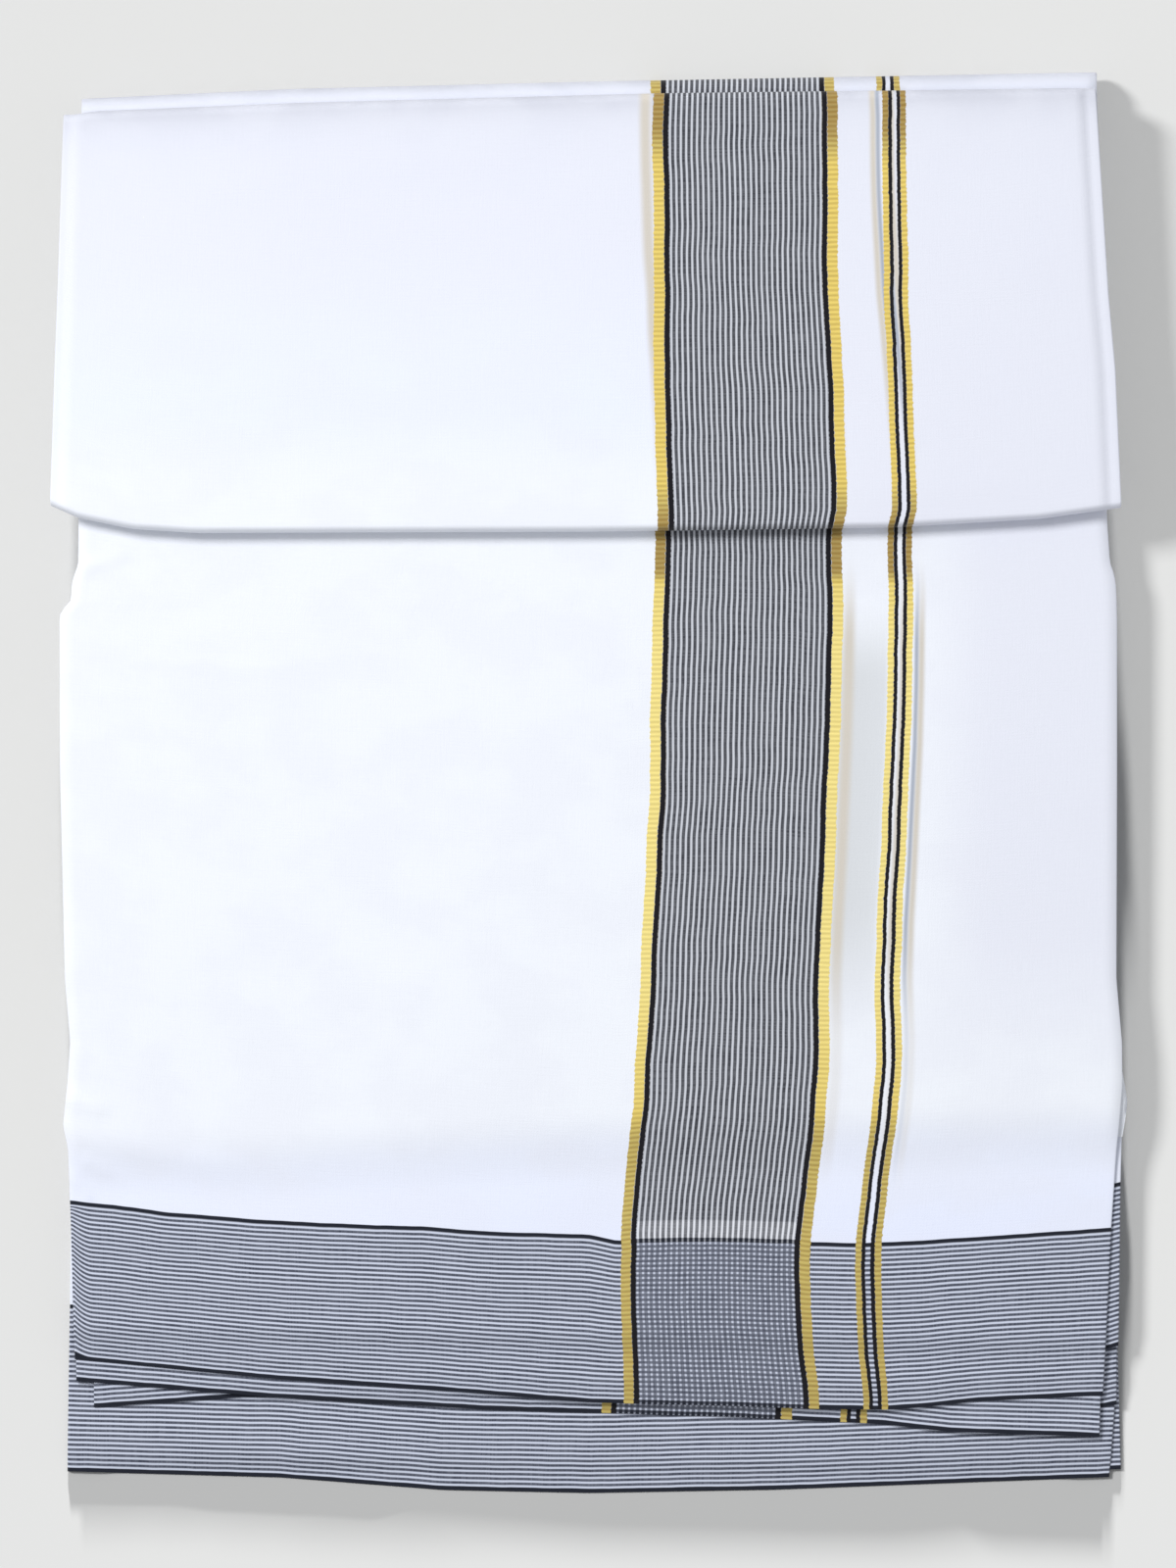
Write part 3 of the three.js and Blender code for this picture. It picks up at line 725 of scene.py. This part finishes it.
below_inner_folds = run_along(INNER_FOLDS, -INNER_FOLD_GAP)
third_hem = run_along(THIRD_HEM)
second_hem = run_along(SECOND_HEM)
side_hem = run_along(SIDE_HEM)
third_level = top_of("third_end") - CLOTH / 2
second_level = top_of("second_end") - CLOTH / 2
side_level = top_of("side_end") - CLOTH / 2


def third_height(x, y):
    lift = creases(x, y, [(-140, -183, -120, -187, 0.4, 2.5)])
    return third_level - droop(third_hem, x, y, HEM_SAG) + lift


third_end = lay_ply(
    "third_end_cloth",
    lie_across(THIRD_SIDES),
    third_hem,
    run_along(THIRD_HEM, END_LENGTH),
    below_inner_folds,
    (24, 14),
    third_height,
    cloth_shift=BORDERS_HIDDEN,
    told={"blue_tint_and_shade": lambda x, y: 0.6},
)
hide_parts("third_end")


def second_height(x, y):
    level = second_level - step_off(third_hem, x, y)
    corner = 1.5 * ease((x - 84) / 40) * ease((-186 - y) / 9)
    return level - droop(second_hem, x, y, HEM_SAG) + corner


second_end = lay_ply(
    "second_end_cloth",
    lie_across(SECOND_SIDES, SECOND_LINES),
    second_hem,
    run_along(SECOND_HEM, END_LENGTH),
    below_inner_folds,
    (30, 16),
    second_height,
    told={"blue_tint_and_shade": lambda x, y: 0.6, "painted_glint": lambda x, y: 0.3},
)
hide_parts("second_end")

side_end = lay_ply(
    "side_end_cloth",
    lie_across(SIDE_SIDES),
    side_hem,
    run_along(SIDE_HEM, SIDE_END_LENGTH),
    below_inner_folds,
    (24, 12),
    lambda x, y: side_level - droop(side_hem, x, y, HEM_SAG),
    cloth_shift=BORDERS_HIDDEN,
    told={"blue_tint_and_shade": lambda x, y: 0.6},
)
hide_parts("side_end")

# --- The folds inside the body ----------------------------------------------------------------------
# Between the front ply and the back lies the rest of the cloth, folded back and forth. Only the rounded
# folds at the two sides show, one above another, pressed but never quite in line.

FOLD_SIDES = [
    (210, -151.2, 151.4), (72, -152.2, 154.8), (58, -154.2, 157.2), (47, -157.6, 157.4), (5, -157.8, 157.5),
    (-59, -156.3, 157.3), (-80, -154.9, 159.0), (-89, -155.4, 160.4), (-99, -156.7, 161.8),
    (-111, -155.2, 159.9),
]
FRONT_SIDES = [
    (210, -152.6, 152.8), (79, -153.6, 155.9), (66, -153.6, 156.8), (63, -154.8, 158.0), (60, -155.7, 158.5),
    (55, -155.9, 158.8), (53.6, -156.4, 158.8), (52.4, -158.7, 158.8), (50, -159.3, 158.9),
    (5, -159.2, 158.9), (-59, -157.7, 158.7), (-78, -156.1, 160.4), (-91, -157.0, 160.5),
    (-103, -158.3, 159.5), (-110, -156.7, 158.7), (-133, -155.8, 157.1), (-189, -154.3, 154.4),
]
TOP_FOLD = [(-153, 206.0), (-89, 209.0), (0, 211.2), (153, 214.0)]
TOP_ROLL = 4.5
ROLL_REACH = 3.2
EDGE_DROP = 1.2
EDGE_REACH = 3.5
DRAPE = 21.0
WEDGE = 6.0
PLY_ROOM = 1.35
LAYERS = 8
LAYER_STEPS = 6

front_top = top_of("front_panel")
front_low = top_of("side_end") + PLY_STEP
inner_folds = run_along(INNER_FOLDS)
roll_middle = run_along(TOP_FOLD, -TOP_ROLL - CLOTH / 2)


def edge_drop(inward):
    """How far a ply has rolled down this far in from its side fold."""
    return EDGE_DROP * (1 - np.clip(inward / EDGE_REACH, 0, 1)) ** 2


def roll(sides, x, y):
    return edge_drop(np.minimum(x - read(sides, y, 1), read(sides, y, 2) - x))


def front_level(x, y):
    """The upper face of the front ply, before its creases."""
    over_folds = ease((y - inner_folds(x)) / DRAPE + 0.8)
    low = front_low - step_off(side_hem, x, y)
    return low + (front_top - low) * over_folds - roll(FRONT_SIDES, x, y) * over_folds


def stack_folds(sides, rows, level_y, low, high, seed):
    """A closed stack of cloth layers: flat above and below, with rounded folds down both sides. Rows are
    shares of its length, and level_y tells how far up the packet each share lies."""
    random = np.random.default_rng(seed)
    share = np.asarray(rows)[:, None]
    y_side = level_y(0 * share, share)
    across = np.concatenate([[0.012, 0.025], np.linspace(0.04, 0.96, 24), [0.975, 0.988]])[None, :]
    west, east = read(sides, y_side, 1), read(sides, y_side, 2)
    x_flat = west + (east - west) * across
    y_flat = level_y(x_flat, share)
    bounds = np.concatenate([[0], np.cumsum(random.uniform(0.7, 1.4, LAYERS))])
    bounds = bounds / bounds[-1]
    phase = random.uniform(0, 2 * pi, (4, LAYERS))

    def stands(side):
        """How far each layer's fold stands out at each row."""
        along = y_side + 40 * side
        return (
            0.55 * np.sin(along / 61 + phase[0] + side) + 0.35 * np.sin(along / 23 + phase[1])
            + 0.16 * np.sin(along / 9 + phase[2]) - 0.35
        )

    def lobes(edge, side):
        stand = stands(side)
        x_edge = edge + 0 * stand[:, :1]
        bottom, top = low(x_edge, y_side, share), high(x_edge, y_side, share)
        xs, zs = [], []
        for layer in range(LAYERS):
            thick = (top - bottom) * (bounds[layer + 1] - bounds[layer])
            for step in range(LAYER_STEPS + (layer == LAYERS - 1)):
                turn = step / LAYER_STEPS
                out = np.sin(pi * turn) ** 0.7
                here = stand[:, layer:layer + 1]
                if step == 0 and layer > 0:
                    here = np.minimum(here, stand[:, layer - 1:layer])
                xs.append(x_edge + side * (here - 0.75 * (1 - out)))
                zs.append(bottom + (top - bottom) * bounds[layer] + thick * turn)
        return np.hstack(xs), np.hstack(zs)

    x_east, z_east = lobes(east, 1)
    x_west, z_west = lobes(west, -1)
    x = np.hstack([x_flat, x_east, x_flat[:, ::-1], x_west[:, ::-1]])
    y = np.hstack([y_flat, level_y(x_east, share), y_flat[:, ::-1], level_y(x_west, share)])
    floor, roof = low(x_flat, y_flat, share), high(x_flat, y_flat, share)
    z = np.hstack([floor, z_east, roof[:, ::-1], z_west[:, ::-1]])
    count, rings = x.shape[1], x.shape[0]
    flat, sided = x_flat.shape[1], x_east.shape[1]
    ring = np.arange(count)
    after = (ring + 1) % count
    faces = []
    for row in range(rings - 1):
        near, far = row * count, (row + 1) * count
        faces += [(near + a, near + b, far + b, far + a) for a, b in zip(ring, after)]
    for start, turn in ((0, -1), ((rings - 1) * count, 1)):
        top = flat + sided
        caps = [(i, i + 1, top + flat - 2 - i, top + flat - 1 - i) for i in range(flat - 1)]
        caps += [(flat - 1, flat + i, flat + i + 1) for i in range(sided - 1)]
        caps += [(flat - 1, top - 1, top)]
        caps += [(0, top + flat - 1, top + flat)]
        caps += [(0, top + flat + i, top + flat + i + 1) for i in range(sided - 1)]
        faces += [tuple(start + i for i in face[::turn]) for face in caps]
    points = np.stack([x, y, z], axis=2).reshape(-1, 3)
    cloth = np.stack([-90 + 0.4 * x + z, 270 + y], axis=2).reshape(-1, 2)
    return points, faces, cloth


body_rows = np.concatenate([
    [0, 0.004, 0.008, 0.0122, 0.0158], np.linspace(0.02, 0.985, 148), np.linspace(0.987, 1, 9),
])


def body_y(x, share):
    start = inner_folds(x) - WEDGE
    return start + (roll_middle(x) + ROLL_REACH - start) * share


def pinched(x, y):
    """How thick the folded stack is against its full thickness: it rounds off inside the top fold."""
    over = np.clip((y - roll_middle(x)) / ROLL_REACH, 0, 1)
    return np.sqrt(1 - 0.97 * over ** 2)


def full_low(x, y):
    """The underside of the stack. It lies on the inner back ply, but over the inner ends where they stop."""
    low = top_of("inner_back_ply") + CLEARANCE
    low = low + (top_of("side_end") + CLEARANCE - low) * (1 - ease(y - inner_folds(x) + 2.0))
    return low + (PLY_ROOM - low) * ease((y - TOP_SEAM - 0.1) / 0.8)


def body_low(x, y, _):
    low = full_low(x, y)
    return low + (front_level(x, y) - PLY_ROOM - low) * (1 - pinched(x, y)) / 2


def body_high(x, y, _):
    low = full_low(x, y)
    return low + (front_level(x, y) - PLY_ROOM - low) * (1 + pinched(x, y)) / 2


points, faces, cloth = stack_folds(FOLD_SIDES, body_rows, body_y, body_low, body_high, seed=4)
body_folds = make_piece("body_folds_cloth", points, faces, cloth, {})
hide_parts("body_folds")

# --- The front ply ------------------------------------------------------------------------------------
# The ply that shows from under the flap down to its striped end. It lies on the hidden folds, comes down
# where they stop, and its hem rests on the ends below. Both its sides are folds that roll down a little.

FRONT_HEM = [
    (-154.6, -173.5), (-98.2, -179.1), (-41.9, -183.1), (-0.3, -186.5), (14.4, -186.9), (41.6, -187.5),
    (66.3, -188.4), (89.9, -188.7), (101.1, -187.9), (118.2, -186.0), (140.6, -185.0), (154.8, -184.3),
]
FRONT_START = [
    (-156.0, -126.8), (-143.3, -128.2), (-127.6, -130.3), (-98.2, -132.7), (-75.8, -133.8), (-49.8, -134.7),
    (-30.7, -136.2), (-0.3, -137.1), (8.8, -139.0), (14.4, -138.3), (39.2, -138.0), (61.6, -138.6),
    (66.3, -139.4), (81.4, -139.7), (101.1, -138.9), (118.2, -137.7), (135.0, -136.5), (157.1, -135.0),
]
# Up the packet, then the wide border's left black line, its right one, and the narrow border.
FRONT_LINES = [
    (70.5, 23.8, 72.1, 93.6), (59, 23.5, 72.4, 94.0), (47, 23.2, 72.3, 93.7), (29, 22.7, 71.9, 93.5),
    (11.5, 22.4, 71.3, 93.0), (-6, 22.0, 70.6, 92.1), (-24, 21.2, 69.9, 91.2), (-42, 20.2, 69.0, 90.1),
    (-59, 19.3, 68.3, 89.6), (-77, 18.3, 68.3, 90.2), (-89, 17.5, 67.9, 89.8), (-100.5, 16.9, 66.9, 88.7),
    (-112, 15.4, 65.7, 87.1), (-130, 13.7, 63.5, 85.0), (-136, 13.4, 62.8, 84.3), (-148, 13.4, 62.4, 83.6),
    (-159.5, 13.4, 62.8, 83.9), (-171, 13.9, 63.8, 84.9), (-186, 14.2, 65.4, 86.2),
]
FRONT_CREASES = [
    (-139, 69, -154, 64, 0.5, 2.0),
    (-154, 64, -157, 55, -0.5, 1.6),
    (-158, -94, -146, -99, 0.7, 1.8),
    (-152, -113, -144, -118, 0.5, 1.6),
    (-156, -118, -150, -126, 0.5, 1.6),
    (-134, 37, -90, 34, 0.25, 2.2),
    (-157, -106, -106, -116, 0.35, 4.0),
    (-60, -60, 40, -75, 0.12, 7.0),
    (100, 20, 150, -10, 0.15, 8.0),
]
# Painted glint on the gilt thread at each place up the packet.
PAINTED_GLINT = [
    (212, 0.0), (196, 0.05), (186, 0.75), (90, 0.75), (79, 0.05), (62.5, 0.05), (61, 0.85), (40, 1.0),
    (-60, 1.0), (-98, 0.8), (-106, 0.4), (-190, 0.3),
]


front_hem = run_along(FRONT_HEM)


def painted_glint_up_packet(_, y):
    """The painted glint on the gilt thread up the packet: low where the cloth turns over or steps down, high
    on the flat.
    """
    return read(PAINTED_GLINT, y, rounded=1.0)


def front_height(x, y):
    swell = ripple(x, y, 0.14) * ease((74 - y) / 20) * ease((y + 190) / 30)
    level = front_level(x, y) - CLOTH / 2 - droop(front_hem, x, y, 0.95)
    return level + swell + creases(x, y, FRONT_CREASES)


def front_tint_and_step_shade(x, y):
    """Bluer and darker from where the cloth comes off the hidden folds: a blue tint, with painted shade for
    the step down.
    """
    below = inner_folds(x) + 6 - y
    return 0.05 + 0.4 * ease(below / 14) + 0.55 * ease(below / 42)


def front_see_through(_, y):
    return (0.7 * ease((y + 80) / 40) + 0.3) * ease((70 - y) / 30) * ease((y + 125) / 20)


def front_gap_shade(x, y):
    """Painted shade: between the two borders the cloth is greyer for a stretch, most next to the wide border.
    """
    into_gap = x - read(FRONT_LINES, y, 2) - 3.0
    out_of_gap = read(FRONT_LINES, y, 3) - 3.0 - x
    worn = ease((56 - y) / 26) * ease((y + 84) / 50) * ease(into_gap / 2) * ease(out_of_gap / 2)
    return worn * (1 - 0.3 * np.clip(into_gap / 18, 0, 1))


front_panel = lay_ply(
    "front_panel_cloth",
    lie_across(FRONT_SIDES, FRONT_LINES),
    front_hem,
    run_along(FRONT_START),
    top_seam,
    (30, 160),
    front_height,
    bow=3.0,
    told={
        # Blue tint, with painted shade below the step off the hidden folds.
        "blue_tint_and_shade": front_tint_and_step_shade,
        # Painted shade: darker towards the right side, away from the lamp.
        "painted_falloff_shade": lambda x, y: 0.9 * ease((x - 94) / 30) * ease((y + 100) / 60),
        # Painted glint on the gilt thread.
        "painted_glint": painted_glint_up_packet,
        "below_shift": lambda x, y: -3.6,
        "see_through": front_see_through,
        # Painted shade between the two borders.
        "painted_gap_shade": front_gap_shade,
    },
)
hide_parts("front_panel")

# --- The top fold -------------------------------------------------------------------------------------
# The outermost ply comes up from the back round the top of the folded body and is tucked under the flap.
# It is the strip that shows over the flap, borders and all.

TOP_LINES = [(0, 22.4, 70.0, 89.9), (214, 22.4, 70.0, 89.9)]
TOP_SIDES = (-152.6, 152.8)
TOP_ALONG = 210.0


def wrap_ply(name, sides, lines, route, told, brim):
    """A ply that wraps a fold. The route gives Y and Z of its middle at each place across, and brim is how
    far up the packet it starts."""
    x = ACROSS[:, None] + 0.0
    lie = lie_across(sides, lines)
    y, z = route(lie(ACROSS[:, None], brim + 0 * x))
    for _ in range(3):
        x = lie(ACROSS[:, None], y)
        y, z = route(x)
    step = np.hypot(np.diff(y, axis=1), np.diff(z, axis=1))
    along = TOP_ALONG + np.concatenate([0 * step[:, :1], np.cumsum(step, axis=1)], axis=1)
    return fold_sides(name, ACROSS, x, y, z, along, told)


def top_route(x):
    low, high = CLOTH / 2, front_top - CLOTH / 2
    middle, rise = (low + high) / 2, (high - low) / 2
    x_here = x[:, :1]
    turns = np.linspace(pi / 2, -pi / 2, 25)[None, :]
    brim = TOP_SEAM + np.array([[0.3, 2.0]]) + 0 * x_here
    y = np.hstack([brim, roll_middle(x_here) + TOP_ROLL * np.cos(turns), brim[:, ::-1]])
    z = np.hstack([np.full((1, 2), high), middle + rise * np.sin(turns), np.full((1, 2), low)]) + 0 * y
    west, east = TOP_SIDES
    drop = edge_drop(np.minimum(x_here - west, east - x_here))
    return y, z - drop * (z - low) / (high - low)


top_fold = wrap_ply(
    "top_fold_cloth",
    FRONT_SIDES,
    TOP_LINES,
    top_route,
    brim=TOP_SEAM,
    told={
        "blue_tint_and_shade": lambda x, y: 0.5,
        "painted_glint": lambda x, y: 0.35,
        # Painted shade: the strip is greyer all over, most at its top where it rounds over the fold.
        "painted_edge_shade": lambda x, y: 0.45 + 0.5 * ease((y - run_along(TOP_FOLD, -4.0)(x)) / 4),
    },
)
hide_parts("back_ply_top_fold")

# --- The flap -------------------------------------------------------------------------------------------
# The packet's top is turned down in front. Inside it are the same folds doubled back; one ply covers them,
# tucked under at the bottom fold and rolled over at the top.

FLAP_SIDES = [(209, -157.4, 152.0), (147, -159.5, 155.9), (124, -160.4, 158.0), (83, -161.8, 159.8)]
FLAP_TOP = [(-158, 200.8), (-152, 201.8), (-89, 204.3), (23, 207.2), (152, 208.7)]
FLAP_BOTTOM = [
    (-162, 83.7), (-153, 79.6), (-137, 76.3), (-118, 75.1), (0, 75.5), (91, 76.7), (135, 79.3), (160, 82.8),
]
FLAP_LINES = [
    (206, 23.2, 70.6, 91.4), (200, 23.1, 70.8, 91.7), (177, 23.4, 70.9, 91.7), (159, 23.3, 70.8, 92.1),
    (147, 23.7, 71.0, 92.1), (135, 23.4, 71.7, 92.7), (118, 23.8, 72.4, 93.3), (100, 23.9, 73.2, 94.3),
    (88, 24.5, 73.4, 94.6), (82, 24.9, 73.3, 94.6), (76, 24.7, 72.3, 93.2),
]
FLAP_MIDDLE = 150.0
FLAP_TUCK = 14.0
FLAP_ROLL = 1.9
FLAP_TOP_ROLL = 2.6
FLAP_CREASES = [
    (-150, 140, -90, 132, 0.12, 6.0), (60, 190, 140, 150, 0.14, 9.0), (-120, 180, -20, 190, 0.12, 8.0),
    (-110, 76, -90, 79, -0.35, 3.0), (-90, 75, -84, 80, -0.3, 1.6),
]

flap_top = top_of("flap_front")
flap_under = front_top + CLEARANCE
flap_edge = run_along(FLAP_TOP)


def flap_route(x):
    low, high = flap_under + CLOTH / 2, flap_top - CLOTH / 2
    middle, rise = (low + high) / 2, (high - low) / 2
    lower = run_along(FLAP_BOTTOM, CLOTH / 2)(x)[:, :1]
    upper = run_along(FLAP_TOP, -CLOTH / 2)(x)[:, :1]
    turns = np.linspace(0, pi, 25)[None, :]
    flat = np.linspace(0, 1, 82)[None, 1:-1]
    top_turns = np.linspace(0, pi / 2, 10)[None, :]
    start, end = lower + FLAP_ROLL, upper - FLAP_TOP_ROLL
    y = np.hstack([
        lower + FLAP_TUCK, lower + FLAP_TUCK * 0.7,
        lower + FLAP_ROLL * (1 - np.sin(turns)),
        start + (end - start) * flat,
        end + FLAP_TOP_ROLL * np.sin(top_turns),
        upper,
    ])
    z = np.hstack([
        [[low, low]],
        middle - rise * np.cos(turns),
        np.full(flat.shape, high),
        high - FLAP_TOP_ROLL * (1 - np.cos(top_turns)),
        [[low]],
    ]) + 0 * y
    x_here = x[:, :1]
    drop = roll(FLAP_SIDES, x_here, FLAP_MIDDLE + 0 * x_here)
    on_top = ease((z - middle) / rise) * ease((y - lower) / 12)
    swell = ripple(x_here, y, 0.15, 2.0) + creases(x_here, y, FLAP_CREASES)
    return y, z - drop * (z - low) / (high - low) + swell * on_top


def flap_edge_shade(x, y):
    """Painted shade: the flap is greyer for a finger's breadth under its top edge, where it rolls over."""
    below_top = flap_edge(x) - y
    return np.minimum(0.9 * np.exp(-below_top / 2.5) + 0.4 * np.exp(-below_top / 9), 1)


# Painted shade: the flap is darker towards its right side and its upper part.
def flap_falloff_shade(x, y):
    return np.clip(ease((x - 30) / 60) + 0.9 * ease((y - 110) / 60), 0, 1)


flap_front = wrap_ply(
    "flap_front_cloth",
    FLAP_SIDES,
    FLAP_LINES,
    flap_route,
    brim=FLAP_MIDDLE,
    told={
        "blue_tint_and_shade": lambda x, y: 0.1 + 0.7 * ease((y - 85) / 30),
        "painted_falloff_shade": flap_falloff_shade,
        "painted_edge_shade": flap_edge_shade,
        "painted_glint": painted_glint_up_packet,
        "below_shift": lambda x, y: 3.8 * ease((y - 85) / 110),
        "see_through": lambda x, y: ease((y - 70) / 70),
    },
)
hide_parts("flap_front")

flap_fold_sides = [(y, west + 1.4, east - 1.4) for y, west, east in FLAP_SIDES]


def flap_y(x, share):
    lower, upper = run_along(FLAP_BOTTOM, 2.5)(x), run_along(FLAP_TOP, -1.9)(x)
    return lower + (upper - lower) * share


def flap_pinch(share):
    """How far the stack thins from above and from below inside the flap's bottom fold."""
    return 1.6 * (1 - ease(share / 0.03))


def flap_low(x, _, share):
    over_tuck = PLY_STEP * (1 - ease((share - 0.095) / 0.03))
    return flap_under + over_tuck + flap_pinch(share) + 0 * x


def flap_high(x, y, share):
    under_edge = 1.8 * ease((share - 0.98) / 0.02)
    return flap_top - PLY_ROOM - roll(FLAP_SIDES, x, y) - flap_pinch(share) - under_edge


flap_rows = np.concatenate([[0, 0.006, 0.015, 0.03], np.linspace(0.04, 0.97, 90), [0.98, 0.99, 1]])
points, faces, cloth = stack_folds(flap_fold_sides, flap_rows, flap_y, flap_low, flap_high, seed=9)
flap_folds = make_piece("flap_folds_cloth", points, faces, cloth, {})
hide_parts("flap_folds")
